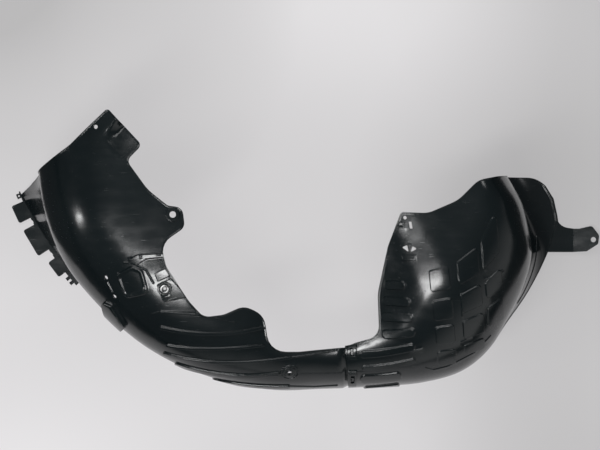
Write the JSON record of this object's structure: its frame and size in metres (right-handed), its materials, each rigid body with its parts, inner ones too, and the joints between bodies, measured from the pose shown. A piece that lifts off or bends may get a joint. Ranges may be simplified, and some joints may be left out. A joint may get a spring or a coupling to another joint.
{
  "type": "wheel arch liner",
  "caption": "Moulded plastic liner for a car's front wheel arch: a ribbed shell that wraps over the tyre, with a gap for the strut, clip bores, a slotted flange and a fixing lug.",
  "frame": {"origin": "centre of the bounding box, on the plane of the outboard edge that the part lies on", "axes": "+Z along the wheel axis towards the inboard side of the car, +Y out of the open side of the arch, +X towards the rear of the arch"},
  "size_m": [0.8014, 0.3602, 0.2415],
  "materials": {
    "black_plastic": "semi-gloss moulded black polypropylene"
  },
  "bodies": {
    "root": {"front_section": "black_plastic", "rear_section": "black_plastic"}
  },
  "joints": []
}
